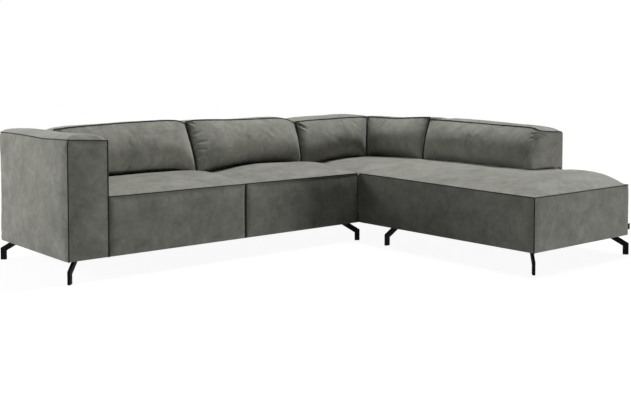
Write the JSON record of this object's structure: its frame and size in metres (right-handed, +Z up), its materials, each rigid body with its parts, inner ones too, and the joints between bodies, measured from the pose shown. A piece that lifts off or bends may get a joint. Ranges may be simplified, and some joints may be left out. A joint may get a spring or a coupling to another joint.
{
  "type": "corner sofa",
  "caption": "Upholstered corner sofa: an arm-ended sofa module hooked to a long chaise module with an L-shaped back, on bent bar legs.",
  "frame": {"origin": "on the floor, under the middle of the sofa's outline", "axes": "+X from the arm towards the chaise's outer side, +Y from the chaise's tip towards the rear wall, +Z up"},
  "size_m": [3.0453, 2.3546, 0.8008],
  "materials": {
    "upholstery_fabric": "matte suede-like nap, grey with a green cast",
    "frame_wood": "planed, unvarnished",
    "webbing": "woven elastic",
    "felt": "needled felt",
    "dust_cloth": "non-woven cloth",
    "leg_metal": "matte black powder coat",
    "glide_plastic": "moulded",
    "fastener_steel": "zinc plated",
    "hook_steel": "zinc plated",
    "tab_cloth": "woven ribbon"
  },
  "bodies": {
    "sofa_module": {"arm_base_board": "frame_wood", "arm_bolts": "fastener_steel", "arm_cover": "upholstery_fabric", "arm_end_boards": "frame_wood", "arm_inner_board": "frame_wood", "arm_outer_board": "frame_wood", "arm_top_board": "frame_wood", "back_cushion_left": "upholstery_fabric", "back_cushion_middle": "upholstery_fabric", "seat_cushion_left": "upholstery_fabric", "seat_cushion_right": "upholstery_fabric", "sofa_arm_rail": "frame_wood", "sofa_back_panel": "upholstery_fabric", "sofa_back_posts": "frame_wood", "sofa_back_top_rail": "frame_wood", "sofa_back_webbing": "webbing", "sofa_centre_rail": "frame_wood", "sofa_corner_blocks": "frame_wood", "sofa_dust_cover": "dust_cloth", "sofa_felt_pad": "felt", "sofa_front_rail": "frame_wood", "sofa_hook_sockets": "hook_steel", "sofa_joint_rail": "frame_wood", "sofa_leg_front_left": "leg_metal", "sofa_leg_front_right": "leg_metal", "sofa_leg_glides": "glide_plastic", "sofa_leg_rear_left": "leg_metal", "sofa_leg_rear_right": "leg_metal", "sofa_leg_screws": "fastener_steel", "sofa_rear_rail": "frame_wood", "sofa_seat_webbing": "webbing"},
    "chaise_module": {"back_cushion_chaise": "upholstery_fabric", "back_cushion_corner_rear": "upholstery_fabric", "back_cushion_corner_side": "upholstery_fabric", "chaise_back_webbing": "webbing", "chaise_cross_rails": "frame_wood", "chaise_dust_cover": "dust_cloth", "chaise_end_rails": "frame_wood", "chaise_felt_pad": "felt", "chaise_hook_tongues": "hook_steel", "chaise_inner_rail": "frame_wood", "chaise_leg_blocks": "frame_wood", "chaise_leg_glides": "glide_plastic", "chaise_leg_mid_left": "leg_metal", "chaise_leg_mid_right": "leg_metal", "chaise_leg_rear_left": "leg_metal", "chaise_leg_rear_right": "leg_metal", "chaise_leg_screws": "fastener_steel", "chaise_leg_tip_left": "leg_metal", "chaise_leg_tip_right": "leg_metal", "chaise_outer_rail": "frame_wood", "chaise_rear_panel": "upholstery_fabric", "chaise_rear_posts": "frame_wood", "chaise_rear_top_rail": "frame_wood", "chaise_seat_cushion": "upholstery_fabric", "chaise_seat_webbing": "webbing", "chaise_side_panel": "upholstery_fabric", "chaise_side_posts": "frame_wood", "chaise_side_top_rail": "frame_wood", "side_tab": "tab_cloth"}
  },
  "joints": [
    {"name": "chaise_lift", "type": "slide", "parent": "sofa_module", "child": "chaise_module", "axis": [0, 0, 1], "range_m": [0, 0.05]}
  ]
}
